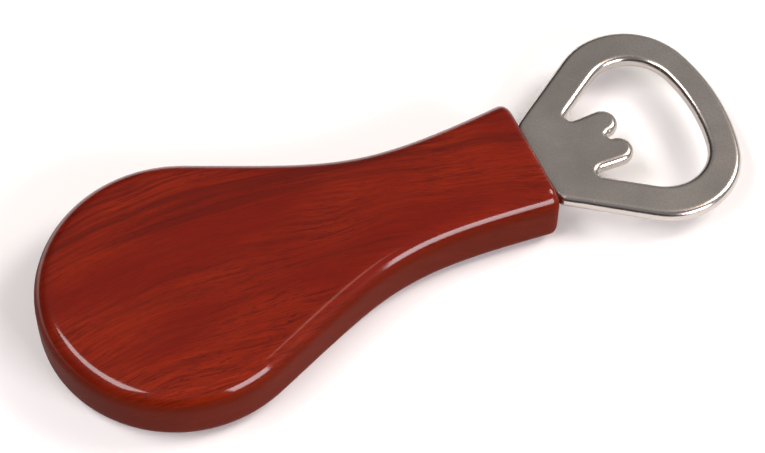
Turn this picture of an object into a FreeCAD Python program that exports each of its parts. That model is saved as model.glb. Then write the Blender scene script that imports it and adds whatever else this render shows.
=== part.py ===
import FreeCAD, Part
import math
import os

from FreeCAD import Vector

# Souvenir bottle opener: a stamped steel opener head with a tang, glued into a
# slab of shaped and sanded hardwood. All sizes are in millimetres.
#
# The part lies flat on its back. +X runs along the handle towards the opener
# head, +Z points up and the origin is below the middle of the bounding box, on
# the surface that the handle rests on. The functions work in a plan whose
# x = 0 is the handle's square front end, and place() moves each sub-part from
# there to the part's own origin.

# Handle
HANDLE_LENGTH = 107.5
HANDLE_THICKNESS = 15.0
END_RADIUS = 28.7           # the round end, so the handle is 57.4 wide
END_SWEEP = 23.5            # degrees that each side of the end arc runs past the widest point
FLANK_REACH = 33.1          # Bezier handle from the end arc towards the neck
FRONT_REACH = 34.5          # Bezier handle from the front end towards the neck
FRONT_HALF_WIDTH = 14.3
FRONT_FLARE = 5.9           # degrees that the sides open out at the front end
LONG_EDGE_ROUNDING = 4.2
FRONT_EDGE_ROUNDING = 1.8

# Opener head
PLATE_THICKNESS = 3.2
HEAD_REACH = 44.2           # from the front end of the handle to the tip
RING_HALF_WIDTH = 24.5
RING_TIP_RADIUS = 45.0
RING_CORNER_RADIUS = 16.0
SIDE_ANGLE = 34.3           # degrees between the straight sides and the X axis
SHOULDER_RADIUS = 4.0
SHOULDER_GAP = 0.6          # the shoulders stop this far short of the handle
PLATE_EDGE_ROUNDING = 0.7

# Opening in the head, which takes a 32 mm crown cap
RIM_WIDTH = 6.7             # steel left at the tip
OPENING_HALF_WIDTH = 16.6
OPENING_CORNER_RADIUS = 9.6
SLOT_END_RADIUS = 1.05      # the narrow ends of the opening beside the tongue

# Tongue that hooks under the cap
LOBE_RADIUS = 3.15
LOBE_X = 18.45
LOBE_Y = 3.75
TONGUE_FLARE = 2.0          # degrees that the sides of the tongue open towards the lobes

# Tang and the slot that it is glued into
TANG_LENGTH = 32.0
TANG_HALF_WIDTH = 6.0
TANG_CORNER_RADIUS = 2.5
GLUE_HOLE_RADIUS = 2.0
GLUE_HOLES_X = (-9.0, -21.0)
SLOT_SIDE_GAP = 0.3
SLOT_FACE_GAP = 0.2
SLOT_END_GAP = 1.0
BEAD_HALF_WIDTH = 7.0       # glue squeezed out of the slot, up to the shoulders

MID_HEIGHT = HANDLE_THICKNESS / 2
FRONT_X = (HANDLE_LENGTH - HEAD_REACH) / 2
TOLERANCE = 1e-6            # for telling which plane an edge lies in


def polar(centre, radius, degrees):
    """Point at an angle on a circle in the plan."""
    turn = math.radians(degrees)
    return centre + Vector(radius * math.cos(turn), radius * math.sin(turn), 0)


def arc(centre, radius, start, end):
    """Arc in the plan, anticlockwise between two angles in degrees."""
    middle = (start + end) / 2
    points = [polar(centre, radius, angle) for angle in (start, middle, end)]
    return Part.Arc(*points).toShape()


def line(start, end):
    return Part.makeLine(start, end)


def mirrored(edges):
    """Copies of the edges on the other side of the X axis."""
    return [edge.mirror(Vector(0, 0, 0), Vector(0, 1, 0)) for edge in edges]


def face_from(edges):
    return Part.Face(Part.Wire(Part.__sortEdges__(edges)))


def prism(face, low_z, height):
    face.translate(Vector(0, 0, low_z))
    return face.extrude(Vector(0, 0, height))


def place(shape):
    """Move a sub-part from the plan at the front end to the part's own origin."""
    shape.translate(Vector(FRONT_X, 0, 0))
    return shape


def rim_edges(solid, low_z, high_z):
    """Edges that lie in the bottom or the top plane of a flat solid."""
    found = []
    for edge in solid.Edges:
        box = edge.BoundBox
        flat = box.ZLength < TOLERANCE
        at_face = min(abs(box.ZMin - low_z), abs(box.ZMin - high_z)) < TOLERANCE
        if flat and at_face:
            found.append(edge)
    return found


def handle_outline():
    """Round end, two flanks that sweep in to a neck and a square front end."""
    end_centre = Vector(END_RADIUS - HANDLE_LENGTH, 0, 0)
    end_angle = 90 - END_SWEEP
    flank_start = polar(end_centre, END_RADIUS, end_angle)
    front_corner = Vector(0, FRONT_HALF_WIDTH, 0)
    flank_pole = polar(flank_start, FLANK_REACH, -END_SWEEP)
    front_pole = polar(front_corner, FRONT_REACH, 180 + FRONT_FLARE)
    flank = Part.BezierCurve()
    flank.setPoles([flank_start, flank_pole, front_pole, front_corner])
    edges = [flank.toShape()]
    edges += mirrored(edges)
    edges.append(arc(end_centre, END_RADIUS, end_angle, 360 - end_angle))
    edges.append(line(front_corner, Vector(0, -FRONT_HALF_WIDTH, 0)))
    return face_from(edges)


def slot_level_box(low_x, length, half_width):
    """Box as high as the slot for the tang."""
    height = PLATE_THICKNESS + 2 * SLOT_FACE_GAP
    corner = Vector(low_x, -half_width, MID_HEIGHT - height / 2)
    return Part.makeBox(length, 2 * half_width, height, corner)


def slot_block():
    """The sawn slot for the tang, open at the front end."""
    length = TANG_LENGTH + SLOT_END_GAP
    return slot_level_box(-length, length, TANG_HALF_WIDTH + SLOT_SIDE_GAP)


def make_handle():
    slab = prism(handle_outline(), 0, HANDLE_THICKNESS)
    long_edges = [
        edge for edge in rim_edges(slab, 0, HANDLE_THICKNESS)
        if edge.CenterOfMass.x < -TOLERANCE
    ]
    slab = slab.makeFillet(LONG_EDGE_ROUNDING, long_edges)
    front_edges = [edge for edge in slab.Edges if edge.BoundBox.XMin > -TOLERANCE]
    slab = slab.makeFillet(FRONT_EDGE_ROUNDING, front_edges)
    return slab.cut(slot_block())


def ring_centres(half_width, corner_radius, tip_radius):
    """Centres of the tip arc and of the corner arc that runs into it."""
    tip_centre = Vector(HEAD_REACH - RING_TIP_RADIUS, 0, 0)
    corner_y = half_width - corner_radius
    apart = math.sqrt((tip_radius - corner_radius) ** 2 - corner_y ** 2)
    return tip_centre, tip_centre + Vector(apart, corner_y, 0)


def ring_arcs(half_width, corner_radius, tip_radius):
    """Tip arc and the two corner arcs, with the point where the straight side starts."""
    tip_centre, corner_centre = ring_centres(half_width, corner_radius, tip_radius)
    reach = corner_centre - tip_centre
    join_angle = math.degrees(math.atan2(reach.y, reach.x))
    side_angle = 90 + SIDE_ANGLE
    corner = arc(corner_centre, corner_radius, join_angle, side_angle)
    tip = arc(tip_centre, tip_radius, -join_angle, join_angle)
    side_start = polar(corner_centre, corner_radius, side_angle)
    return [tip, corner] + mirrored([corner]), side_start


def head_outline():
    """Ring, straight sides, rounded shoulders and tang."""
    edges, side_start = ring_arcs(RING_HALF_WIDTH, RING_CORNER_RADIUS, RING_TIP_RADIUS)
    slope = math.tan(math.radians(SIDE_ANGLE))
    shoulder_y = side_start.y - (side_start.x - SHOULDER_GAP) * slope
    shoulder = Vector(SHOULDER_GAP, shoulder_y, 0)
    trim = SHOULDER_RADIUS * math.tan(math.radians((90 - SIDE_ANGLE) / 2))
    shoulder_centre = Vector(SHOULDER_GAP + SHOULDER_RADIUS, shoulder_y - trim, 0)
    tang_root = Vector(SHOULDER_GAP, TANG_HALF_WIDTH, 0)
    corner_centre = Vector(
        TANG_CORNER_RADIUS - TANG_LENGTH, TANG_HALF_WIDTH - TANG_CORNER_RADIUS, 0
    )
    tang_side_end = polar(corner_centre, TANG_CORNER_RADIUS, 90)
    tang_back_end = polar(corner_centre, TANG_CORNER_RADIUS, 180)
    half = [
        line(side_start, polar(shoulder, trim, SIDE_ANGLE)),
        arc(shoulder_centre, SHOULDER_RADIUS, 90 + SIDE_ANGLE, 180),
        line(polar(shoulder_centre, SHOULDER_RADIUS, 180), tang_root),
        line(tang_root, tang_side_end),
        arc(corner_centre, TANG_CORNER_RADIUS, 90, 180),
    ]
    edges += half + mirrored(half)
    edges.append(line(tang_back_end, Vector(tang_back_end.x, -tang_back_end.y, 0)))
    return face_from(edges)


def opening_outline():
    """Opening inside the ring, with the two-lobed tongue left standing in it."""
    tip_radius = RING_TIP_RADIUS - RIM_WIDTH
    edges, side_start = ring_arcs(OPENING_HALF_WIDTH, OPENING_CORNER_RADIUS, tip_radius)
    lobe_centre = Vector(LOBE_X, LOBE_Y, 0)
    tongue_end = polar(lobe_centre, LOBE_RADIUS, 90 + TONGUE_FLARE)

    # The side of the opening and the side of the tongue meet in a sharp corner,
    # which the cutter's nose rounds.
    side_slope = math.tan(math.radians(SIDE_ANGLE))
    tongue_slope = math.tan(math.radians(TONGUE_FLARE))
    side_y = side_start.y - side_start.x * side_slope
    tongue_y = tongue_end.y - tongue_end.x * tongue_slope
    corner_x = (tongue_y - side_y) / (side_slope - tongue_slope)
    corner = Vector(corner_x, side_y + corner_x * side_slope, 0)
    half_angle = (SIDE_ANGLE - TONGUE_FLARE) / 2
    middle_angle = (SIDE_ANGLE + TONGUE_FLARE) / 2
    trim = SLOT_END_RADIUS / math.tan(math.radians(half_angle))
    reach = SLOT_END_RADIUS / math.sin(math.radians(half_angle))
    slot_centre = polar(corner, reach, middle_angle)

    half = [
        line(side_start, polar(corner, trim, SIDE_ANGLE)),
        arc(slot_centre, SLOT_END_RADIUS, 90 + SIDE_ANGLE, 270 + TONGUE_FLARE),
        line(polar(corner, trim, TONGUE_FLARE), tongue_end),
        arc(lobe_centre, LOBE_RADIUS, -90, 90 + TONGUE_FLARE),
    ]
    notch = arc(Vector(LOBE_X, 0, 0), LOBE_Y - LOBE_RADIUS, 90, 270)
    return face_from(edges + half + mirrored(half) + [notch])


def glue_hole(x):
    centre = Vector(x, 0, MID_HEIGHT - PLATE_THICKNESS)
    return Part.makeCylinder(GLUE_HOLE_RADIUS, 2 * PLATE_THICKNESS, centre)


def make_opener_head():
    low_z = MID_HEIGHT - PLATE_THICKNESS / 2
    outline = head_outline().cut(opening_outline())
    plate = prism(outline, low_z, PLATE_THICKNESS)
    edges = rim_edges(plate, low_z, low_z + PLATE_THICKNESS)
    plate = plate.makeFillet(PLATE_EDGE_ROUNDING, edges)
    for x in GLUE_HOLES_X:
        plate = plate.cut(glue_hole(x))
    return plate


def make_tang_adhesive(opener_head):
    """Epoxy round the tang and through its holes, with the bead at the slot's mouth."""
    bead = slot_level_box(0, SHOULDER_GAP, BEAD_HALF_WIDTH)
    return slot_block().fuse(bead).removeSplitter().cut(opener_head)


def main():
    os.makedirs("parts", exist_ok=True)
    opener_head = make_opener_head()
    subparts = {
        "handle": make_handle(),
        "opener_head": opener_head,
        "tang_adhesive": make_tang_adhesive(opener_head),
    }
    for name, shape in subparts.items():
        place(shape).exportStep(f"parts/{name}.step")


main()
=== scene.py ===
import math

import bmesh
import bpy
from mathutils import Matrix, Vector, noise


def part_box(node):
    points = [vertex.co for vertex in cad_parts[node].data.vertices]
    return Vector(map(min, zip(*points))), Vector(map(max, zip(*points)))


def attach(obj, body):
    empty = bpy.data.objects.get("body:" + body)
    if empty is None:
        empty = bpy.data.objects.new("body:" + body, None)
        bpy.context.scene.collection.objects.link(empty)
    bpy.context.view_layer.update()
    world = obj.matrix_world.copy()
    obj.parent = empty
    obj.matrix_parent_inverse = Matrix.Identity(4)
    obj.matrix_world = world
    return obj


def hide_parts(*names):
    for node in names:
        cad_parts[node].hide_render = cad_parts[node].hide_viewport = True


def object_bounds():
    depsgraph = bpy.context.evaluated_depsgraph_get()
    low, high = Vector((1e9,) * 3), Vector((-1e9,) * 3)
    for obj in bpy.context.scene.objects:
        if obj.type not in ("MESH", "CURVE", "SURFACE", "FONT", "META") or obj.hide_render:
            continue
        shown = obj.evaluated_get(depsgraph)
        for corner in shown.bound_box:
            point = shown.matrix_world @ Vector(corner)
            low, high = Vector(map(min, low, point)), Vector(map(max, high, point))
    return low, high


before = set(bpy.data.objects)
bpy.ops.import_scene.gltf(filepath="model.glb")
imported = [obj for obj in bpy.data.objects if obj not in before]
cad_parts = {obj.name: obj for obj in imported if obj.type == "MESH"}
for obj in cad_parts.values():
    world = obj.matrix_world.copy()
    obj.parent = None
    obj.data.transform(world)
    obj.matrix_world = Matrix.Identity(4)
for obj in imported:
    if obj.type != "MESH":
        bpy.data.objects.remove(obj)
CAD_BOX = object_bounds()

bl_info = {
    "name": "Souvenir Bottle Opener",
    "version": (1, 0, 0),
    "blender": (4, 5, 0),
    "location": "3D View > Sidebar > Opener",
    "description": "Builds the looks of a wooden-handled bottle opener around its packed frame",
    "category": "Add Mesh",
}

MM = 0.001
WELD = 1e-6  # vertices nearer than this are one
SHARP_ANGLE = math.radians(40)


# ---------------------------------------------------------------- node trees


class Signal:
    """A node's output that Python's operators work on: each one adds a Math node."""

    def __init__(self, graph, socket):
        self.graph = graph
        self.socket = socket

    def __add__(self, other):
        return self.graph.math("ADD", self, other)

    def __sub__(self, other):
        return self.graph.math("SUBTRACT", self, other)

    def __rsub__(self, other):
        return self.graph.math("SUBTRACT", other, self)

    def __mul__(self, other):
        return self.graph.math("MULTIPLY", self, other)

    def __rtruediv__(self, other):
        return self.graph.math("DIVIDE", other, self)

    def __abs__(self):
        return self.graph.math("ABSOLUTE", self)

    __radd__ = __add__
    __rmul__ = __mul__


class Graph:
    """A node tree, built from expressions."""

    BLEND_INPUTS = (0, 6, 7)  # a Mix node's factor and its two colours
    BLEND_OUTPUT = 2  # its mixed colour

    def __init__(self, tree):
        self.tree = tree
        tree.nodes.clear()

    def node(self, kind, settings=None, inputs=None, output=0):
        """Add a node: its settings first, then the values or links of its sockets."""
        made = self.tree.nodes.new(kind)
        for name, value in (settings or {}).items():
            setattr(made, name, value)
        for key, value in (inputs or {}).items():
            self.feed(made.inputs[key], value)
        return Signal(self, made.outputs[output]) if made.outputs else None

    def feed(self, socket, value):
        """Link a signal to a socket, or set the socket's own value."""
        if isinstance(value, Signal):
            self.tree.links.new(value.socket, socket)
        else:
            socket.default_value = value

    def math(self, operation, *values):
        return self.node("ShaderNodeMath", {"operation": operation}, dict(enumerate(values)))

    def scaled(self, vector, factors):
        """A vector times three factors, one for each axis."""
        inputs = {0: vector, 1: factors}
        return self.node("ShaderNodeVectorMath", {"operation": "MULTIPLY"}, inputs)

    def stretched(self, vector, amount):
        """A vector times one number."""
        inputs = {0: vector, "Scale": amount}
        return self.node("ShaderNodeVectorMath", {"operation": "SCALE"}, inputs)

    def combine(self, x, y, z):
        return self.node("ShaderNodeCombineXYZ", None, {0: x, 1: y, 2: z})

    def axes(self, vector):
        """The x, y and z of a vector."""
        split = self.node("ShaderNodeSeparateXYZ", None, {0: vector})
        return [Signal(self, socket) for socket in split.socket.node.outputs]

    def noise(self, vector, scale, detail, roughness):
        """Noise from 0 to 1 with its mean near a half."""
        inputs = {"Vector": vector, "Scale": scale, "Detail": detail, "Roughness": roughness}
        return self.node("ShaderNodeTexNoise", {"noise_dimensions": "3D"}, inputs)

    def step(self, value, low, high):
        """Smooth rise from 0 at low to 1 at high."""
        settings = {"interpolation_type": "SMOOTHSTEP"}
        inputs = {"Value": value, "From Min": low, "From Max": high}
        return self.node("ShaderNodeMapRange", settings, inputs)

    def blend(self, factor, first, second):
        """Mix two colours, from the first at 0 to the second at 1."""
        sockets = zip(self.BLEND_INPUTS, (factor, first, second))
        return self.node("ShaderNodeMix", {"data_type": "RGBA"}, dict(sockets), self.BLEND_OUTPUT)

    def bump(self, height, distance, strength):
        inputs = {"Height": height, "Distance": distance, "Strength": strength}
        return self.node("ShaderNodeBump", None, inputs)

    def millimetres(self):
        """Object coordinates in millimetres."""
        place = self.node("ShaderNodeTexCoord", None, None, "Object")
        return self.scaled(place, (1 / MM, 1 / MM, 1 / MM))

    def facing(self):
        """The surface's normal on the object's own axes."""
        return self.node("ShaderNodeTexCoord", None, None, "Normal")

    def surface(self, varying, constants):
        """End in a Principled BSDF. Constants are set on its own sockets."""
        shader = self.node("ShaderNodeBsdfPrincipled", None, {**constants, **varying})
        self.node("ShaderNodeOutputMaterial", None, {"Surface": shader})


class MaterialGraph(Graph):
    """The node tree of a new material."""

    def __init__(self, name):
        self.material = bpy.data.materials.new(name)
        self.material.use_nodes = True
        super().__init__(self.material.node_tree)


class ModifierGraph(Graph):
    """The node tree of a geometry modifier with named inputs."""

    def __init__(self, name, **inputs):
        super().__init__(bpy.data.node_groups.new(name, "GeometryNodeTree"))
        face = self.tree.interface
        face.new_socket("Geometry", in_out="INPUT", socket_type="NodeSocketGeometry")
        face.new_socket("Geometry", in_out="OUTPUT", socket_type="NodeSocketGeometry")
        for label, kind in inputs.items():
            socket_type = "NodeSocket" + kind
            face.new_socket(label, in_out="INPUT", socket_type=socket_type)
        self.source = self.node("NodeGroupInput").socket.node

    def given(self, name):
        """One of the tree's own inputs."""
        return Signal(self, self.source.outputs[name])

    def moved(self, geometry, offset):
        return self.node("GeometryNodeSetPosition", None, {"Geometry": geometry, "Offset": offset})

    def resampled(self, curve, spacing):
        """A curve with its points spaced out evenly."""
        inputs = {"Curve": curve, "Length": spacing}
        return self.node("GeometryNodeResampleCurve", {"mode": "LENGTH"}, inputs)

    def joined(self, *geometries):
        """Several geometries as one."""
        made = self.tree.nodes.new("GeometryNodeJoinGeometry")
        for geometry in reversed(geometries):
            self.tree.links.new(geometry.socket, made.inputs[0])
        return Signal(self, made.outputs[0])

    def unevenness(self, position, normal, amount):
        """Small pushes in and out, from the tree's Wavelength and Seed inputs."""
        wave = self.node(
            "ShaderNodeTexNoise",
            {"noise_dimensions": "4D"},
            {
                "Vector": position,
                "W": self.given("Seed"),
                "Scale": 1 / self.given("Wavelength"),
                "Detail": 1.0,
            },
        )
        return self.stretched(normal, (wave - 0.5) * amount)

    def output(self, geometry, material):
        """End with real geometry that wears a material."""
        real = self.node("GeometryNodeRealizeInstances", None, {"Geometry": geometry})
        worn = self.node("GeometryNodeSetMaterial", None, {"Geometry": real, "Material": material})
        self.node("NodeGroupOutput", None, {"Geometry": worn})

    def apply(self, carrier, name, **values):
        """Run the tree on a carrier object and return its result as a plain mesh object."""
        modifier = carrier.modifiers.new(name, "NODES")
        modifier.node_group = self.tree
        for item in self.tree.interface.items_tree:
            if item.in_out == "INPUT" and item.name in values:
                modifier[item.identifier] = values[item.name]
        graph = bpy.context.evaluated_depsgraph_get()
        mesh = bpy.data.meshes.new_from_object(carrier.evaluated_get(graph))
        bpy.data.objects.remove(carrier)
        if mesh.materials[0] is None:  # the carrier's own empty slot
            mesh.materials.pop(index=0)
        mesh.name = name
        return add_object(name, mesh)


def srgb(red, green, blue):
    """Colour from display values of 0 to 255."""
    def linear(value):
        share = value / 255
        if share <= 0.04045:
            return share / 12.92
        return ((share + 0.055) / 1.055) ** 2.4

    return (linear(red), linear(green), linear(blue), 1.0)


# ---------------------------------------------------------------- wood

# Repeats of each noise per millimetre: along the fibres, across them and down.
WANDER = (0.021, 0.04, 0.04)
SWAY = (0.065, 0.09, 0.09)
CLOUD = (0.025, 0.06, 0.06)
BAND = (0.014, 0.46, 0.05)
STREAK = (0.03, 0.9, 0.2)
FEATHER = (0.13, 2.1, 0.5)
HAIR = (0.25, 4.2, 2.0)
PORE = (0.6, 3.4, 3.4)
PEEL = 0.4  # the lacquer's orange peel, the same all ways

ARCH = 0.0022  # how fast the fibres bend away from the crown of the grain, per millimetre
SLANT = 0.7  # sideways shift of the growth layers per millimetre of height
WANDER_REACH = 11  # millimetres that the fibres wander in all
SWAY_REACH = 3  # millimetres that they sway in all
DARK_SIDE = (5.0, 15.0)  # millimetres across, between which the figure turns darker
DARK_SIDE_SWAY = 14

GROUND_DEEP = srgb(108, 17, 1)
GROUND_WARM = srgb(124, 29, 4)
BAND_COLOUR = srgb(80, 14, 2)
STREAK_COLOUR = srgb(74, 8, 3)
FEATHER_COLOUR = srgb(70, 10, 3)
HAIR_COLOUR = srgb(92, 14, 4)
GLOW_COLOUR = srgb(150, 42, 12)
PORE_COLOUR = srgb(52, 6, 4)
# painted shade for the rounded rim and the sides
SIDE_SHADE_COLOUR = srgb(83, 22, 4)

WOOD_BUMP = 0.02 * MM
UNBUFFED = 0.94  # share of the gloss that the steep sides lack


def lacquered_wood(settings):
    """Red rosewood figure through the whole block, under clear gloss lacquer."""
    graph = MaterialGraph("red_rosewood")
    place = graph.millimetres()

    # The fibres run along the handle, wander a little and arch down into the neck.
    wander = graph.noise(graph.scaled(place, WANDER), 1.0, 1.0, 0.4)
    sway = graph.noise(graph.scaled(place, SWAY), 1.0, 1.0, 0.4)
    x, y, z = graph.axes(place)
    bend = x + settings.crown_distance / MM
    across = y + bend * bend * ARCH + (wander - 0.5) * WANDER_REACH + (sway - 0.5) * SWAY_REACH
    grain = graph.combine(x, across + z * SLANT, z)

    dark_side = graph.step(across + (sway - 0.5) * DARK_SIDE_SWAY, *DARK_SIDE)
    cloud = graph.noise(graph.scaled(place, CLOUD), 1.0, 2.0, 0.5)
    band = graph.noise(graph.scaled(grain, BAND), 1.0, 2.0, 0.5)
    streak = graph.noise(graph.scaled(grain, STREAK), 1.0, 3.0, 0.6)
    feather = graph.noise(graph.scaled(grain, FEATHER), 1.0, 3.0, 0.65)
    hair = graph.noise(graph.scaled(grain, HAIR), 1.0, 2.0, 0.6)
    patchy = graph.step(cloud * 0.6 + sway * 0.4, 0.44, 0.56)

    # Dark figure over the ground, from broad bands to fine hairs.
    colour = graph.blend(graph.step(cloud, 0.36, 0.64), GROUND_DEEP, GROUND_WARM)
    dark_band = graph.step(band, 0.46, 0.66) * (0.25 + dark_side * 0.45)
    colour = graph.blend(dark_band, colour, BAND_COLOUR)
    dark_streak = graph.step(streak, 0.5, 0.68) * (0.28 + dark_side * 0.35)
    colour = graph.blend(dark_streak, colour, STREAK_COLOUR)
    dark_feather = graph.step(feather, 0.48, 0.64) * (0.24 + patchy * 0.4)
    colour = graph.blend(dark_feather, colour, FEATHER_COLOUR)
    colour = graph.blend(graph.step(hair, 0.44, 0.64) * 0.5, colour, HAIR_COLOUR)
    glow = graph.step(1 - streak, 0.54, 0.7) * graph.step(cloud, 0.45, 0.6)
    colour = graph.blend(glow * 0.25, colour, GLOW_COLOUR)

    # Open pores, short dark dashes along the fibres.
    pore_field = graph.noise(graph.scaled(grain, PORE), 1.0, 1.0, 0.5)
    pores = graph.step(pore_field, 0.6, 0.72) * (0.4 + patchy * 0.6)
    colour = graph.blend(pores * 0.45, colour, PORE_COLOUR)

    # Painted shade: the rounded rim and the steep sides take a darker, browner colour, chosen by how
    # steeply they face. They are also less buffed.
    up = abs(graph.axes(graph.facing())[2])
    side = 1 - graph.step(up, 0.2, 0.97)
    colour = graph.blend(side * 0.8, colour, SIDE_SHADE_COLOUR)

    peel = graph.noise(place, PEEL, 1.0, 0.4)
    relief = peel * 0.6 + feather * 0.1 - pores * 0.2
    graph.surface(
        {
            "Base Color": colour,
            "Roughness": 0.45 + streak * 0.12,
            "Coat Weight": 1 - (1 - graph.step(up, 0.48, 0.72)) * UNBUFFED,
            "Normal": graph.bump(relief, WOOD_BUMP, 0.3),
        },
        {
            "IOR": 1.4,
            "Specular IOR Level": 0.03,
            "Coat Roughness": settings.gloss_roughness,
            "Coat IOR": 1.42,
        },
    )
    return graph.material


# ---------------------------------------------------------------- steel, glue and paper

GRIT = 2.6  # repeats of each noise per millimetre
MOTTLE = 0.35
SMEAR = 0.09
SCRATCH = (0.12, 6.5, 1.0)
SCRATCH_TURN = 0.7  # radians from the plate's length
CROSS_SCRATCH = (5.0, 0.16, 1.0)

MOTTLE_COLOUR = srgb(222, 216, 210)
GRIT_COLOUR = srgb(178, 170, 162)
# painted shade: a darker steel for the rounded edges, so their reflections stay dimmer
EDGE_SHADE_COLOUR = srgb(196, 189, 183)
STEEL_BUMP = 0.02 * MM

EPOXY_CLEAR = srgb(120, 72, 34)
EPOXY_HAZY = srgb(158, 104, 52)
DUST_COLOUR = srgb(84, 44, 24)
EPOXY_BUMP = 0.05 * MM

PAPER_DIM = srgb(240, 240, 240)
PAPER_BRIGHT = srgb(246, 246, 246)
PAPER_BUMP = 0.02 * MM


def polished_steel(settings):
    """Nickel-plated steel: satin tumbled faces, bright edges, fine handling marks."""
    graph = MaterialGraph("tumbled_steel")
    place = graph.millimetres()
    up = abs(graph.axes(graph.facing())[2])
    face = graph.step(up, 0.86, 0.995)

    grit = graph.noise(place, GRIT, 2.0, 0.7)
    mottle = graph.noise(place, MOTTLE, 3.0, 0.6)
    smear = graph.noise(place, SMEAR, 2.0, 0.5)
    turned = graph.node(
        "ShaderNodeVectorRotate",
        {"rotation_type": "Z_AXIS"},
        {"Vector": place, "Angle": SCRATCH_TURN},
    )
    scratch = graph.noise(graph.scaled(turned, SCRATCH), 1.0, 2.0, 0.6)
    cross_scratch = graph.noise(graph.scaled(place, CROSS_SCRATCH), 1.0, 2.0, 0.6)
    marks = graph.step(scratch, 0.66, 0.74) + graph.step(cross_scratch, 0.68, 0.76)

    plated = (*settings.face_colour, 1.0)
    colour = graph.blend(graph.step(mottle, 0.3, 0.75) * 0.35, plated, MOTTLE_COLOUR)
    colour = graph.blend(graph.step(grit, 0.36, 0.66) * 0.5, colour, GRIT_COLOUR)
    # Painted shade: the rounded edges take the darker steel colour, chosen by how they face.
    colour = graph.blend(face, EDGE_SHADE_COLOUR, colour)
    satin = settings.face_roughness + (grit - 0.5) * 0.16 + (smear - 0.5) * 0.12 + marks * 0.05
    roughness = satin * face + (1 - face) * settings.edge_roughness
    relief = grit * 0.55 * face + marks * -0.25 + mottle * 0.3
    graph.surface(
        {
            "Base Color": colour,
            "Roughness": roughness,
            "Normal": graph.bump(relief, STEEL_BUMP, 0.9),
        },
        {"Metallic": 1.0},
    )
    return graph.material


def cured_epoxy():
    """Amber epoxy with a little haze and trapped dust."""
    graph = MaterialGraph("amber_epoxy")
    place = graph.millimetres()
    haze = graph.noise(place, 0.8, 3.0, 0.6)
    dust = graph.step(graph.noise(place, 4.0, 1.0, 0.5), 0.62, 0.75)
    colour = graph.blend(haze, EPOXY_CLEAR, EPOXY_HAZY)
    colour = graph.blend(dust * 0.5, colour, DUST_COLOUR)
    graph.surface(
        {
            "Base Color": colour,
            "Roughness": 0.32 + haze * 0.2,
            "Normal": graph.bump(haze, EPOXY_BUMP, 0.5),
        },
        {"Coat Weight": 0.2},
    )
    return graph.material


def studio_paper():
    """Matt white paper."""
    graph = MaterialGraph("studio_paper")
    place = graph.millimetres()
    tooth = graph.noise(place, 0.9, 3.0, 0.6)
    tone = graph.noise(place, 0.004, 2.0, 0.5)
    graph.surface(
        {
            "Base Color": graph.blend(tone, PAPER_DIM, PAPER_BRIGHT),
            "Roughness": 0.85 + tooth * 0.1,
            "Normal": graph.bump(tooth, PAPER_BUMP, 0.2),
        },
        {"Specular IOR Level": 0.2},
    )
    return graph.material


# ---------------------------------------------------------------- helpers


def dress(piece, material):
    """Give every face of a piece one material."""
    slots = piece.data.materials
    if not slots:
        slots.append(material)
    for index in range(len(slots)):
        slots[index] = material


def add_object(name, data):
    """Put new data in the scene, as an object at the origin."""
    made = bpy.data.objects.new(name, data)
    bpy.context.scene.collection.objects.link(made)
    return made


def finish_piece(piece, node):
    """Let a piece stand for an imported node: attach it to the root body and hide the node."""
    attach(piece, "root")
    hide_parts(node)


def shade(mesh, sharp_angle):
    """Smooth shading, broken where the surface turns by more than an angle."""
    mesh.shade_smooth()
    mesh.set_sharp_from_angle(angle=sharp_angle)


class Shell:
    """A closed surface that grows from rings of points; points that meet are one vertex."""

    DIGITS = 5  # points that agree to this many decimals of a millimetre meet

    def __init__(self):
        self.mesh = bmesh.new()
        self.known = {}

    def vertex(self, point):
        """The vertex at a point, new or known."""
        key = tuple(round(value, self.DIGITS) for value in point)
        if key not in self.known:
            self.known[key] = self.mesh.verts.new(point)
        return self.known[key]

    def face(self, points):
        """A face through the points, less the ones that repeat."""
        corners = []
        for point in points:
            vertex = self.vertex(point)
            if vertex not in corners:
                corners.append(vertex)
        if len(corners) > 2:
            self.mesh.faces.new(corners)

    def strip(self, first, second, closed=False):
        """Faces between two rows with equally many points."""
        count = len(first)
        for index in range(count if closed else count - 1):
            after = (index + 1) % count
            self.face((first[index], first[after], second[after], second[index]))

    def build(self, name, scale):
        """Finish as a mesh whose faces point outwards."""
        bmesh.ops.recalc_face_normals(self.mesh, faces=self.mesh.faces)
        if self.mesh.calc_volume(signed=True) < 0:
            bmesh.ops.reverse_faces(self.mesh, faces=self.mesh.faces)
        bmesh.ops.scale(self.mesh, vec=(scale, scale, scale), verts=self.mesh.verts)
        mesh = bpy.data.meshes.new(name)
        self.mesh.to_mesh(mesh)
        self.mesh.free()
        return mesh


# ---------------------------------------------------------------- handle


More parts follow.
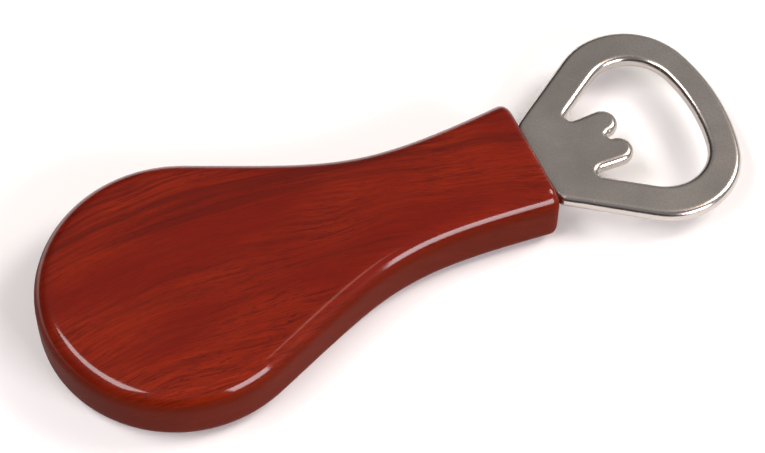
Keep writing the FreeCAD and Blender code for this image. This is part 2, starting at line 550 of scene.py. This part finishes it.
class HandleShape:
    """The handle's rings of points, in millimetres."""

    FLANK_STEPS = 56
    END_STEPS = 48
    ROUNDING_STEPS = 9
    WALL_STEPS = 3
    ROW_STEPS = 18
    FRONT_STEPS = 6
    FINE_STEP = 0.0005  # share of the flank's curve, for finding where the front rounding starts
    SLOT_MARGIN = 1.1  # the sanding keeps off the slot's lip by this factor

    def __init__(self, settings):
        low, high = [Vector(corner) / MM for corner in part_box("handle")]
        glue_low, glue_high = [Vector(corner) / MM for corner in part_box("tang_adhesive")]
        self.front_x = high.x
        self.thickness = high.z
        self.end_radius = high.y
        self.end_x = low.x + high.y
        self.rounding = settings.edge_rounding / MM
        self.front_rounding = settings.front_rounding / MM
        self.crown = settings.crown / MM
        self.crown_reach = settings.crown_reach / MM
        self.sanding = settings.sanding / MM
        self.sanding_size = settings.sanding_size / MM
        self.slot_back = glue_low.x
        self.slot_half = Vector((settings.slot_width / MM / 2, (glue_high.z - glue_low.z) / 2))
        self.slot_height = (glue_high.z + glue_low.z) / 2
        self.lip = settings.slot_lip / MM
        self.flare = settings.front_flare
        self.stations = self.outline(settings)

    def flank(self, settings):
        """Bezier poles from the front corner to the round end."""
        sweep = settings.end_sweep
        front = Vector((self.front_x, settings.front_width / MM / 2))
        away = math.pi / 2 - sweep
        end = Vector((self.end_x, 0)) + self.end_radius * Vector((math.cos(away), math.sin(away)))
        front_arm = Vector((-math.cos(self.flare), -math.sin(self.flare))) * settings.front_reach / MM
        end_arm = Vector((math.cos(sweep), -math.sin(sweep))) * settings.flank_reach / MM
        return front, front + front_arm, end + end_arm, end

    def outline(self, settings):
        """Points and outward directions round the plan, from one front corner to the other."""
        poles = self.flank(settings)
        start = 0.0
        while bezier(poles, start)[0].x > self.front_x - self.front_rounding:
            start += self.FINE_STEP
        half = []
        for step in range(self.FLANK_STEPS):
            point, along = bezier(poles, start + (1 - start) * step / self.FLANK_STEPS)
            half.append((point, Vector((along.y, -along.x)).normalized()))
        first = math.pi / 2 - settings.end_sweep
        for step in range(self.END_STEPS + 1):
            turn = first + (math.pi - first) * step / self.END_STEPS
            outward = Vector((math.cos(turn), math.sin(turn)))
            half.append((Vector((self.end_x, 0)) + outward * self.end_radius, outward))
        flip = Vector((1, -1))
        return half + [(point * flip, outward * flip) for point, outward in reversed(half[:-1])]

    def section(self):
        """Inset, height and slope of the rounded side, from the bottom to the top."""
        radius = self.rounding
        rise = self.thickness - self.crown - 2 * radius
        quarter = [math.pi / 2 * step / self.ROUNDING_STEPS for step in range(self.ROUNDING_STEPS + 1)]
        lower = [
            (radius * (1 - math.cos(turn)), radius * (1 - math.sin(turn)), -turn)
            for turn in reversed(quarter)
        ]
        wall = [(0, radius + rise * step / self.WALL_STEPS, 0) for step in range(1, self.WALL_STEPS)]
        upper = [
            (radius * (1 - math.cos(turn)), radius + rise + radius * math.sin(turn), turn)
            for turn in quarter
        ]
        return lower + wall + upper

    def side_row(self, index):
        """One station's points up the side."""
        point, outward = self.stations[index]
        at_front = index in (0, len(self.stations) - 1)
        row = []
        for inset, height, _ in self.section():
            if at_front:
                across = abs(point.y) - inset / math.cos(self.flare)
                place = Vector((self.front_x - self.front_rounding, math.copysign(across, point.y)))
            else:
                place = point - outward * inset
            row.append(Vector((place.x, place.y, height)))
        return row

    def dome(self, x, y):
        """How far the top has dropped at a place, from nothing in the middle to the whole crown."""
        spot = Vector((x, y))
        clear = min((spot - point).length for point, _ in self.stations) - self.rounding
        share = min(max(clear / self.crown_reach, 0), 1)
        return self.crown * (1 - share) ** 2

    def cross_row(self, far, near, domed):
        """Points from one rim to the other, over the top or under the bottom."""
        row = [far]
        for step in range(1, self.ROW_STEPS):
            place = far.lerp(near, step / self.ROW_STEPS)
            if domed:
                place.z = self.thickness - self.dome(place.x, place.y)
            row.append(place)
        return row + [near]

    def front_ring(self, sides):
        """The section at the front end: its points and their outward directions."""
        far, near = sides[0], sides[-1]
        slopes = [slope for _, _, slope in self.section()]
        up = Vector((0, 0, 1))
        top = self.cross_row(far[-1], near[-1], True)[1:-1]
        bottom = self.cross_row(near[0], far[0], False)[1:-1]
        far_side = [
            (point, Vector((0, math.cos(slope), math.sin(slope))))
            for point, slope in zip(far, slopes)
        ]
        near_side = [
            (point, Vector((0, -math.cos(slope), math.sin(slope))))
            for point, slope in zip(near, slopes)
        ]
        over = [(point, up) for point in top]
        under = [(point, -up) for point in bottom]
        return far_side + over + near_side[::-1] + under

    def squared(self, ring, x, grow):
        """The ring drawn in to the slot's rectangle."""
        half = self.slot_half + Vector((grow, grow))
        drawn = []
        for point in ring:
            y = min(max(point.y, -half.x), half.x)
            z = min(max(point.z - self.slot_height, -half.y), half.y)
            drawn.append(Vector((x, y, z + self.slot_height)))
        return drawn

    def in_slot(self, point):
        """Whether a point belongs to the slot or its lip."""
        reach = self.slot_half + Vector((self.lip, self.lip)) * self.SLOT_MARGIN
        return abs(point.y) < reach.x and abs(point.z - self.slot_height) < reach.y

    def sand(self, shell):
        """Shallow hollows left by hand sanding; the flat bottom and the slot stay true."""
        shell.mesh.normal_update()
        moves = []
        for vertex in shell.mesh.verts:
            if vertex.co.z > self.sanding and not self.in_slot(vertex.co):
                depth = 0.5 + 0.5 * noise.noise(vertex.co / self.sanding_size)
                moves.append((vertex, vertex.normal * self.sanding * depth))
        for vertex, move in moves:
            vertex.co -= move

    def build(self, name):
        """The whole handle, with its slot, as a closed mesh in metres."""
        shell = Shell()
        count = len(self.stations)
        sides = [self.side_row(index) for index in range(count)]
        for row, after in zip(sides, sides[1:]):
            shell.strip(row, after)
        for level, domed in ((-1, True), (0, False)):
            rows = [
                self.cross_row(sides[index][level], sides[count - 1 - index][level], domed)
                for index in range(count // 2)
            ]
            tip = sides[count // 2][level]
            rows.append([tip] * (self.ROW_STEPS + 1))
            for row, after in zip(rows, rows[1:]):
                shell.strip(row, after)

        front = self.front_ring(sides)
        rings = []
        for step in range(self.FRONT_STEPS + 1):
            turn = math.pi / 2 * step / self.FRONT_STEPS
            forward = Vector((self.front_rounding * math.sin(turn), 0, 0))
            inset = self.front_rounding * (1 - math.cos(turn))
            rings.append([point - outward * inset + forward for point, outward in front])
        mouth = self.squared(rings[-1], self.front_x, self.lip)
        rings.append([outer.lerp(inner, 0.5) for outer, inner in zip(rings[-1], mouth)])
        rings.append(mouth)
        rings.append(self.squared(mouth, self.front_x - self.lip, 0))
        rings.append(self.squared(mouth, self.slot_back, 0))
        for ring, after in zip(rings, rings[1:]):
            shell.strip(ring, after, closed=True)
        shell.face(rings[-1])
        bmesh.ops.recalc_face_normals(shell.mesh, faces=shell.mesh.faces)
        self.sand(shell)
        return shell.build(name, MM)


def bezier(poles, share):
    """Point and direction on a cubic Bezier curve."""
    rest = 1 - share
    first, second, third, fourth = poles
    point = (
        first * rest ** 3
        + second * 3 * rest ** 2 * share
        + third * 3 * rest * share ** 2
        + fourth * share ** 3
    )
    along = (
        (second - first) * rest ** 2
        + (third - second) * 2 * rest * share
        + (fourth - third) * share ** 2
    )
    return point, along


# ---------------------------------------------------------------- opener head


LEVEL = 0.9999  # a face's normal rises at least this much when the face is level
SAME_HEIGHT = 10 * WELD


def face_loops(node, height):
    """Edges of a node's flat face at a height, as loops that keep the steel on their left."""
    flat = bmesh.new()
    flat.from_mesh(node.data)
    bmesh.ops.remove_doubles(flat, verts=flat.verts, dist=WELD)
    flat.normal_update()
    level = [
        face for face in flat.faces
        if face.normal.z > LEVEL and abs(face.calc_center_median().z - height) < SAME_HEIGHT
    ]
    inside = set(level)
    following = {}
    for face in level:
        for corner in face.loops:
            if not any(other in inside for other in corner.edge.link_faces if other is not face):
                following[corner.vert] = corner.link_loop_next.vert
    loops = []
    while following:
        start, vertex = following.popitem()
        loop = [start.co.copy()]
        while vertex is not start:
            loop.append(vertex.co.copy())
            vertex = following.pop(vertex)
        loops.append(loop)
    flat.free()
    return loops


def span(loop):
    """Width of a loop along X."""
    values = [point.x for point in loop]
    return max(values) - min(values)


def grown(loop, distance):
    """A round loop, made larger."""
    centre = sum(loop, Vector()) / len(loop)
    radius = span(loop) / 2
    return [centre + (point - centre) * (radius + distance) / radius for point in loop]


def curve_from(name, loops):
    """Closed polylines in one curve object."""
    data = bpy.data.curves.new(name, "CURVE")
    data.dimensions = "3D"
    for loop in loops:
        spline = data.splines.new("POLY")
        spline.points.add(len(loop) - 1)
        for point, place in zip(spline.points, loop):
            point.co = (*place, 1)
        spline.use_cyclic_u = True
    return add_object(name, data)


def stamped_plate():
    """Geometry tree: a plate with rounded, slightly uneven edges along closed outlines."""
    graph = ModifierGraph(
        "stamped_plate",
        Thickness="Float",
        Inset="Float",
        Rounding="Float",
        Steps="Int",
        Land="Float",
        Spacing="Float",
        Height="Float",
        Waviness="Float",
        Wavelength="Float",
        Seed="Float",
        Material="Material",
    )
    thickness = graph.given("Thickness")
    rounding = graph.given("Rounding")
    land = graph.given("Land")

    # The outlines lie an inset inside the plate's side. They are spaced out evenly and
    # drawn in to where the rounding starts, and on by the land.
    even = graph.resampled(graph.given("Geometry"), graph.given("Spacing"))
    position = graph.node("GeometryNodeInputPosition")
    eased = graph.node(
        "GeometryNodeBlurAttribute",
        {"data_type": "FLOAT_VECTOR"},
        {"Value": position, "Iterations": 2, "Weight": 1.0},
    )
    even = graph.node("GeometryNodeSetPosition", None, {"Geometry": even, "Position": eased})
    upright = graph.node("GeometryNodeSetCurveNormal", {"mode": "Z_UP"}, {"Curve": even})
    normal = graph.node("GeometryNodeInputNormal")
    half = thickness * 0.5
    reach = rounding + land
    path = graph.moved(upright, graph.stretched(normal, graph.given("Inset") - reach))

    # Half section of the edge: land, rounding, wall, rounding, land.
    corners = graph.node(
        "GeometryNodeCurvePrimitiveQuadrilateral",
        {"mode": "POINTS"},
        {
            "Point 1": graph.combine(0.0, 0 - half, 0.0),
            "Point 2": graph.combine(reach, 0 - half, 0.0),
            "Point 3": graph.combine(reach, half, 0.0),
            "Point 4": graph.combine(0.0, half, 0.0),
        },
    )
    opened = graph.node("GeometryNodeSetSplineCyclic", None, {"Geometry": corners, "Cyclic": False})
    section = graph.node(
        "GeometryNodeFilletCurve",
        {"mode": "POLY"},
        {"Curve": opened, "Count": graph.given("Steps"), "Radius": rounding},
    )
    edge = graph.node("GeometryNodeCurveToMesh", None, {"Curve": path, "Profile Curve": section})

    sheet = graph.node("GeometryNodeFillCurve", {"mode": "TRIANGLES"}, {"Curve": path})
    top = graph.moved(sheet, graph.combine(0.0, 0.0, half))
    bottom = graph.moved(sheet, graph.combine(0.0, 0.0, 0 - half))
    bottom = graph.node("GeometryNodeFlipFaces", None, {"Mesh": bottom})
    plate = graph.joined(edge, top, bottom)
    plate = graph.node("GeometryNodeMergeByDistance", None, {"Geometry": plate, "Distance": WELD})

    # The polishing leaves the edges uneven and the faces flat.
    push = graph.unevenness(position, normal, graph.given("Waviness"))
    plate = graph.moved(plate, graph.scaled(push, (1.0, 1.0, 0.0)))
    plate = graph.moved(plate, graph.combine(0.0, 0.0, graph.given("Height")))
    graph.output(plate, graph.given("Material"))
    return graph


# ---------------------------------------------------------------- glue


def swept_bead():
    """Geometry tree: a bead of uneven thickness along a closed path."""
    graph = ModifierGraph(
        "swept_bead",
        Radius="Float",
        Sides="Int",
        Spacing="Float",
        Unevenness="Float",
        Wavelength="Float",
        Seed="Float",
        Material="Material",
    )
    even = graph.resampled(graph.given("Geometry"), graph.given("Spacing"))
    circle = graph.node(
        "GeometryNodeCurvePrimitiveCircle",
        {"mode": "RADIUS"},
        {"Resolution": graph.given("Sides"), "Radius": graph.given("Radius")},
    )
    tube = graph.node("GeometryNodeCurveToMesh", None, {"Curve": even, "Profile Curve": circle})
    position = graph.node("GeometryNodeInputPosition")
    normal = graph.node("GeometryNodeInputNormal")
    push = graph.unevenness(position, normal, graph.given("Unevenness"))
    graph.output(graph.moved(tube, push), graph.given("Material"))
    return graph


# ---------------------------------------------------------------- settings


def length(name, description, millimetres):
    """A size property, with its default in millimetres."""
    return bpy.props.FloatProperty(
        name=name, description=description, default=millimetres * MM, unit="LENGTH"
    )


def angle(name, description, degrees):
    """An angle property, with its default in degrees."""
    return bpy.props.FloatProperty(
        name=name, description=description, default=math.radians(degrees), subtype="ANGLE"
    )


def factor(name, description, default):
    """A property between 0 and 1."""
    return bpy.props.FloatProperty(
        name=name, description=description, default=default, min=0, max=1, subtype="FACTOR"
    )


def number(name, description, default):
    """A plain number property."""
    return bpy.props.FloatProperty(name=name, description=description, default=default)


def count(name, description, default):
    """A whole number property."""
    return bpy.props.IntProperty(name=name, description=description, default=default, min=3)


class HandleSettings(bpy.types.PropertyGroup):
    """The wooden handle."""

    end_sweep: angle("End sweep", "How far the round end runs past its widest point", 23.5)
    flank_reach: length("Flank reach", "Bezier arm from the round end towards the neck", 33.1)
    front_reach: length("Front reach", "Bezier arm from the front end towards the neck", 34.5)
    front_width: length("Front width", "Width of the square front end", 28.6)
    front_flare: angle("Front flare", "How far the sides open out at the front end", 5.9)
    edge_rounding: length("Edge rounding", "Radius of the long edges", 4.2)
    front_rounding: length("Front rounding", "Radius of the edges round the front end", 1.8)
    crown: length("Crown", "How much lower the top is at its rim than in the middle", 0.14)
    crown_reach: length("Crown reach", "How far in from the rim the top is domed", 14)
    sanding: length("Sanding", "Depth of the hollows left by hand sanding", 0.06)
    sanding_size: length("Sanding size", "Distance across a sanding hollow", 13)
    slot_width: length("Slot width", "Width of the slot for the tang", 12.6)
    slot_lip: length("Slot lip", "Chamfer round the slot's mouth", 0.25)
    crown_distance: length("Figure crown", "From the origin back to the crown of the grain", 45)
    gloss_roughness: factor("Lacquer roughness", "Roughness of the clear lacquer", 0.1)


class HeadSettings(bpy.types.PropertyGroup):
    """The steel opener head."""

    rounding: length("Edge rounding", "Radius of the tumbled and polished edges", 1.4)
    rounding_steps: count("Rounding steps", "Points round each edge", 9)
    face_inset: length("Face inset", "From the plate's side to the packed flat face", 0.7)
    land: length("Land", "Strip of the flat face next to its rounding", 0.15)
    spacing: length("Spacing", "Distance between points along the outline", 0.35)
    hole_limit: length("Hole limit", "Loops narrower than this are glue holes", 6)
    waviness: length("Waviness", "How uneven the polished edges are", 0.15)
    wavelength: length("Wavelength", "Distance between the uneven spots", 4)
    seed: number("Seed", "Chooses where the uneven spots are", 3.0)
    face_colour: bpy.props.FloatVectorProperty(
        name="Face colour",
        description="Colour of the plated faces",
        default=(0.66, 0.6, 0.553),
        subtype="COLOR",
        size=3,
    )
    face_roughness: factor("Face roughness", "Roughness of the tumbled faces", 0.3)
    edge_roughness: factor("Edge roughness", "Roughness of the polished edges", 0.2)


class GlueSettings(bpy.types.PropertyGroup):
    """The glue that shows between the steel and the wood."""

    bead_radius: length("Bead radius", "Radius of the bead at the slot's mouth", 0.3)
    bead_inset: length("Bead inset", "How far the bead's middle lies inside the glue's box", 0.3)
    bead_sides: count("Bead sides", "Points round the bead", 10)
    unevenness: length("Unevenness", "How much the bead's thickness varies", 0.16)
    wavelength: length("Wavelength", "Distance between the thick spots", 1.2)
    seed: number("Seed", "Chooses where the thick spots are", 1.0)


class StageSettings(bpy.types.PropertyGroup):
    """The floor, the lights and the camera."""

    floor_size: length("Floor size", "Side of the square of paper under the opener", 1600)
    camera_azimuth: angle("Camera azimuth", "Where the camera stands; at 0 it looks along +Y", -25.05)
    camera_elevation: angle("Camera elevation", "Height of the camera above the horizon", 57.2)
    camera_roll: angle("Camera roll", "Turn of the camera about its own line of sight", 1.33)
    camera_distance: length("Camera distance", "From the camera to what it looks at", 492)
    camera_lens: number("Lens", "Focal length in millimetres on a 36 mm sensor", 112.9)


# ---------------------------------------------------------------- operators


class OPENER_OT_handle(bpy.types.Operator):
    """Shape and finish the wooden handle"""

    bl_idname = "opener.handle"
    bl_label = "Handle"

    def execute(self, context):
        settings = context.scene.opener_handle
        mesh = HandleShape(settings).build("wooden_handle")
        shade(mesh, SHARP_ANGLE)
        piece = add_object("wooden_handle", mesh)
        dress(piece, lacquered_wood(settings))
        finish_piece(piece, "handle")
        return {"FINISHED"}


class OPENER_OT_head(bpy.types.Operator):
    """Shape and finish the steel opener head"""

    bl_idname = "opener.head"
    bl_label = "Opener head"

    def execute(self, context):
        settings = context.scene.opener_head
        low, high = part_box("opener_head")
        loops = []
        for loop in face_loops(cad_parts["opener_head"], high[2]):
            hole = span(loop) < settings.hole_limit
            outline = grown(loop, settings.face_inset) if hole else loop
            loops.append([(point.x, point.y, 0) for point in outline])
        piece = stamped_plate().apply(
            curve_from("opener_outline", loops),
            "steel_opener_head",
            Thickness=high[2] - low[2],
            Inset=settings.face_inset,
            Rounding=settings.rounding,
            Steps=settings.rounding_steps,
            Land=settings.land,
            Spacing=settings.spacing,
            Height=(low[2] + high[2]) / 2,
            Waviness=settings.waviness,
            Wavelength=settings.wavelength,
            Seed=settings.seed,
            Material=polished_steel(settings),
        )
        shade(piece.data, SHARP_ANGLE)
        finish_piece(piece, "opener_head")
        return {"FINISHED"}


class OPENER_OT_glue(bpy.types.Operator):
    """Finish the glue round the tang and lay the bead at the slot's mouth"""

    bl_idname = "opener.glue"
    bl_label = "Tang adhesive"

    def execute(self, context):
        settings = context.scene.opener_glue
        epoxy = cured_epoxy()
        dress(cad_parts["tang_adhesive"], epoxy)
        low, high = [Vector(corner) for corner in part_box("tang_adhesive")]
        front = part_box("handle")[1][0]
        inset = settings.bead_inset
        side = high.y - inset
        bottom = low.z + inset
        top = high.z - inset
        corners = ((side, bottom), (side, top), (-side, top), (-side, bottom))
        bead = swept_bead().apply(
            curve_from("bead_path", [[(front + inset, y, z) for y, z in corners]]),
            "glue_bead",
            Radius=settings.bead_radius,
            Sides=settings.bead_sides,
            Spacing=settings.bead_radius / 2,
            Unevenness=settings.unevenness,
            Wavelength=settings.wavelength,
            Seed=settings.seed,
            Material=epoxy,
        )
        shade(bead.data, SHARP_ANGLE)
        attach(bead, "root")
        return {"FINISHED"}


# Name, azimuth and elevation in degrees, width and height in metres, watts, colour.
SOFTBOXES = (
    ("left_softbox", 169, 60, (0.78, 0.27), 6.7, (1.0, 0.94, 0.93)),
    ("right_softbox", -10, 60, (0.3, 0.2), 0.5, (1.0, 0.74, 0.6)),
    ("front_softbox", -68, 27, (0.47, 0.42), 7.1, (1.0, 0.93, 0.97)),
    ("corner_softbox", -5, 44, (0.36, 0.36), 5.6, (1.0, 0.93, 0.88)),
)
SOFTBOX_DISTANCE = 1.0

# A dim room with a paler ceiling, and a paler wall on the +X side.
ROOM_COLOUR = (1.0, 0.985, 0.975, 1.0)
ROOM_STRENGTH = 0.04
CEILING_STRENGTH = 0.2
WALL_STRENGTH = 0.3

AIM_OFFSET = Vector((-2.83, -1.12, 0)) * MM  # from the middle of the CAD box
SENSOR_WIDTH = 36
NEAR_CLIP = 0.01


def add_softbox(target, name, azimuth, elevation, size, power, colour):
    """An area light that shines on a point; azimuth 0 is +X, and its width lies level."""
    light = bpy.data.lights.new(name, "AREA")
    light.shape = "RECTANGLE"
    light.size, light.size_y = size
    light.energy = power
    light.color = colour
    level = math.cos(math.radians(elevation))
    away = Vector((
        level * math.cos(math.radians(azimuth)),
        level * math.sin(math.radians(azimuth)),
        math.sin(math.radians(elevation)),
    ))
    made = add_object(name, light)
    made.location = target + away * SOFTBOX_DISTANCE
    made.rotation_euler = away.to_track_quat("Z", "Y").to_euler()


class OPENER_OT_stage(bpy.types.Operator):
    """Set up the floor, the lights and the camera"""

    bl_idname = "opener.stage"
    bl_label = "Stage"

    def execute(self, context):
        settings = context.scene.opener_stage
        low, high = CAD_BOX
        middle = (low + high) / 2
        self.add_floor(settings, low.z)
        self.add_lights(context, middle)
        self.add_camera(context, settings, middle)
        return {"FINISHED"}

    def add_floor(self, settings, height):
        half = settings.floor_size / 2
        mesh = bpy.data.meshes.new("floor")
        corners = [(-half, -half), (half, -half), (half, half), (-half, half)]
        mesh.from_pydata([(x, y, height) for x, y in corners], [], [(0, 1, 2, 3)])
        floor = add_object("floor", mesh)
        dress(floor, studio_paper())

    def add_lights(self, context, middle):
        world = bpy.data.worlds.new("studio")
        context.scene.world = world
        world.use_nodes = True
        graph = Graph(world.node_tree)
        east, _, rise = graph.axes(graph.node("ShaderNodeTexCoord"))
        ceiling = graph.step(rise, 0.4, 0.72)
        wall = graph.step(east, 0.1, 0.7) * (1 - ceiling)
        strength = ROOM_STRENGTH + ceiling * CEILING_STRENGTH + wall * WALL_STRENGTH
        inputs = {"Color": ROOM_COLOUR, "Strength": strength}
        background = graph.node("ShaderNodeBackground", None, inputs)
        graph.node("ShaderNodeOutputWorld", None, {"Surface": background})
        for light in SOFTBOXES:
            add_softbox(middle, *light)
        context.scene.view_settings.view_transform = "Standard"

    def add_camera(self, context, settings, middle):
        azimuth = settings.camera_azimuth
        elevation = settings.camera_elevation
        back = Vector((
            math.sin(azimuth) * math.cos(elevation),
            -math.cos(azimuth) * math.cos(elevation),
            math.sin(elevation),
        ))
        level = Vector((math.cos(azimuth), math.sin(azimuth), 0))
        right = Matrix.Rotation(settings.camera_roll, 3, back) @ level
        up = back.cross(right)
        camera = bpy.data.cameras.new("camera")
        camera.lens = settings.camera_lens
        camera.sensor_width = SENSOR_WIDTH
        camera.clip_start = NEAR_CLIP
        made = add_object("camera", camera)
        aim = middle + AIM_OFFSET
        axes = Matrix((right, up, back)).transposed().to_4x4()
        made.matrix_world = Matrix.Translation(aim + back * settings.camera_distance) @ axes
        context.scene.camera = made


class OPENER_PT_panel(bpy.types.Panel):
    """The operators, in the order that builds the opener"""

    bl_idname = "OPENER_PT_panel"
    bl_label = "Bottle opener"
    bl_space_type = "VIEW_3D"
    bl_region_type = "UI"
    bl_category = "Opener"

    def draw(self, context):
        for operator in OPERATORS:
            self.layout.operator(operator.bl_idname)


OPERATORS = (OPENER_OT_handle, OPENER_OT_head, OPENER_OT_glue, OPENER_OT_stage)
SETTINGS = {
    "opener_handle": HandleSettings,
    "opener_head": HeadSettings,
    "opener_glue": GlueSettings,
    "opener_stage": StageSettings,
}
CLASSES = (*SETTINGS.values(), *OPERATORS, OPENER_PT_panel)


def register():
    for cls in CLASSES:
        bpy.utils.register_class(cls)
    for name, group in SETTINGS.items():
        setattr(bpy.types.Scene, name, bpy.props.PointerProperty(type=group))


def unregister():
    for name in SETTINGS:
        delattr(bpy.types.Scene, name)
    for cls in reversed(CLASSES):
        bpy.utils.unregister_class(cls)


def main():
    register()
    for operator in OPERATORS:
        group, name = operator.bl_idname.split(".")
        getattr(getattr(bpy.ops, group), name)()


if __name__ == "__main__":
    main()
